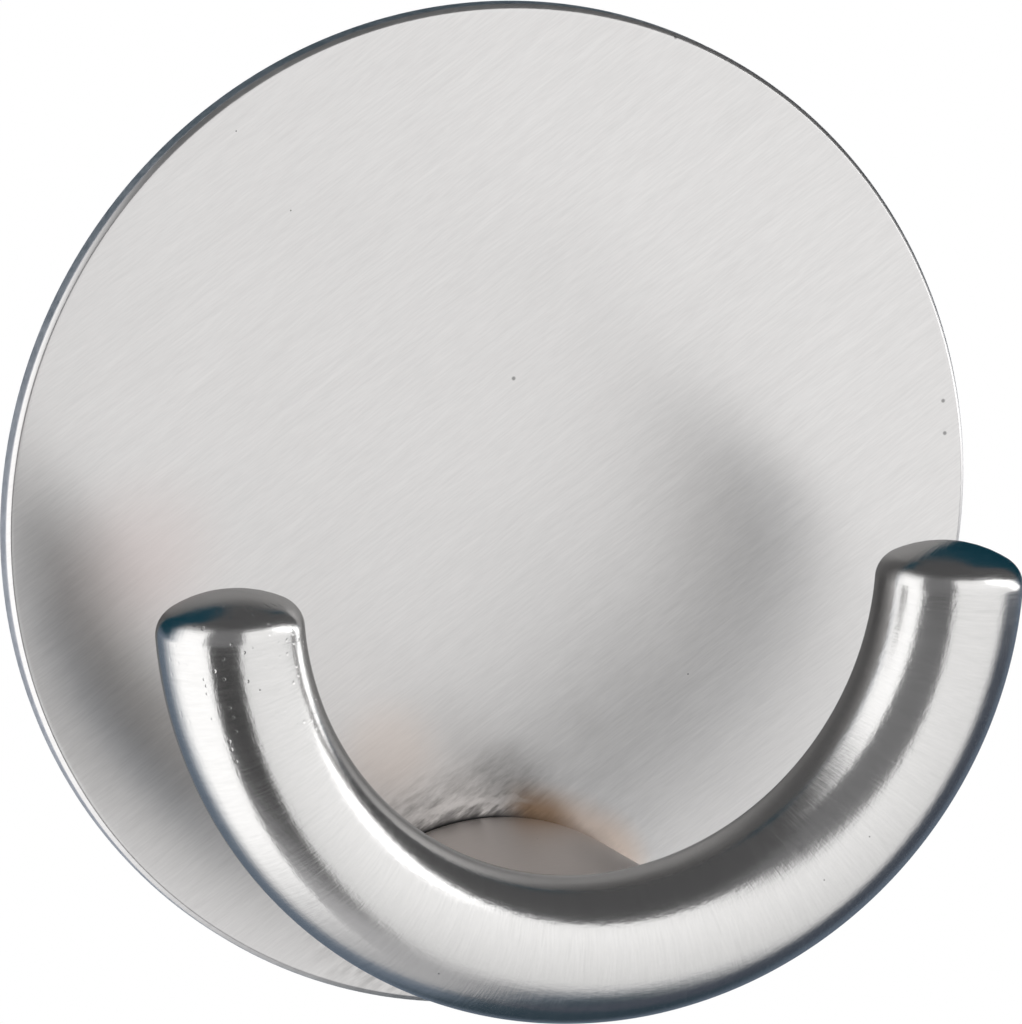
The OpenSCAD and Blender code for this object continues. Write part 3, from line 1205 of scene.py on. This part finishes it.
class WALLHOOK_OT_stem(bpy.types.Operator):
    """Models the oval stem with the dressed weld that joins it to the bar"""

    bl_idname = "wallhook.stem"
    bl_label = "Stem"

    def execute(self, context):
        stem = model_stem(context.scene.wallhook_sizes)
        finish = context.scene.wallhook_finish
        material = satin_steel("stem_satin_steel", finish.stem_steel_and_reflection, finish.pit, **STEM_MARKS)
        finish_piece(stem, material, "stem")
        return {"FINISHED"}


class WALLHOOK_OT_adhesive_pad(bpy.types.Operator):
    """Models the foam pad behind the backplate"""

    bl_idname = "wallhook.adhesive_pad"
    bl_label = "Adhesive pad"

    def execute(self, context):
        pad = model_adhesive_pad(context.scene.wallhook_sizes)
        finish_piece(pad, foam_pad(context.scene.wallhook_finish), "adhesive_pad")
        return {"FINISHED"}


class WALLHOOK_OT_fixing_screws(bpy.types.Operator):
    """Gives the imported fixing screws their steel"""

    bl_idname = "wallhook.fixing_screws"
    bl_label = "Fixing screws"

    def execute(self, context):
        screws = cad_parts["fixing_screws"]
        screws.data.materials.clear()
        steel = context.scene.wallhook_finish.screw_steel
        screws.data.materials.append(unbrushed_steel("screw_turned_steel", steel, **TURNED_MARKS))
        return {"FINISHED"}


class WALLHOOK_PT_sidebar(bpy.types.Panel):
    """Lists the steps that build the hook, with its sizes and colours"""

    bl_idname = "WALLHOOK_PT_sidebar"
    bl_label = "Wall Hook"
    bl_space_type = "VIEW_3D"
    bl_region_type = "UI"
    bl_category = "Wall Hook"

    def draw(self, context):
        layout = self.layout
        for step in STEPS:
            layout.operator(step.bl_idname)
        for group in (
            context.scene.wallhook_sizes,
            context.scene.wallhook_finish,
            context.scene.wallhook_stage,
        ):
            column = layout.column()
            for key in group.__annotations__:
                column.prop(group, key)


STEPS = (
    WALLHOOK_OT_stage,
    WALLHOOK_OT_backplate,
    WALLHOOK_OT_hook_bar,
    WALLHOOK_OT_stem,
    WALLHOOK_OT_adhesive_pad,
    WALLHOOK_OT_fixing_screws,
)
CLASSES = (HookSizes, HookFinish, HookStage, *STEPS, WALLHOOK_PT_sidebar)


def register():
    """Registers the classes and hangs their settings on the scene"""
    for item in CLASSES:
        bpy.utils.register_class(item)
    bpy.types.Scene.wallhook_sizes = bpy.props.PointerProperty(type=HookSizes)
    bpy.types.Scene.wallhook_finish = bpy.props.PointerProperty(type=HookFinish)
    bpy.types.Scene.wallhook_stage = bpy.props.PointerProperty(type=HookStage)


def unregister():
    """Takes the settings off the scene and unregisters the classes"""
    del bpy.types.Scene.wallhook_stage
    del bpy.types.Scene.wallhook_finish
    del bpy.types.Scene.wallhook_sizes
    for item in reversed(CLASSES):
        bpy.utils.unregister_class(item)


def main():
    """Builds the hook step by step"""
    register()
    bpy.ops.wallhook.stage()
    bpy.ops.wallhook.backplate()
    bpy.ops.wallhook.hook_bar()
    bpy.ops.wallhook.stem()
    bpy.ops.wallhook.adhesive_pad()
    bpy.ops.wallhook.fixing_screws()
    clear_selection()


if __name__ == "__main__":
    main()
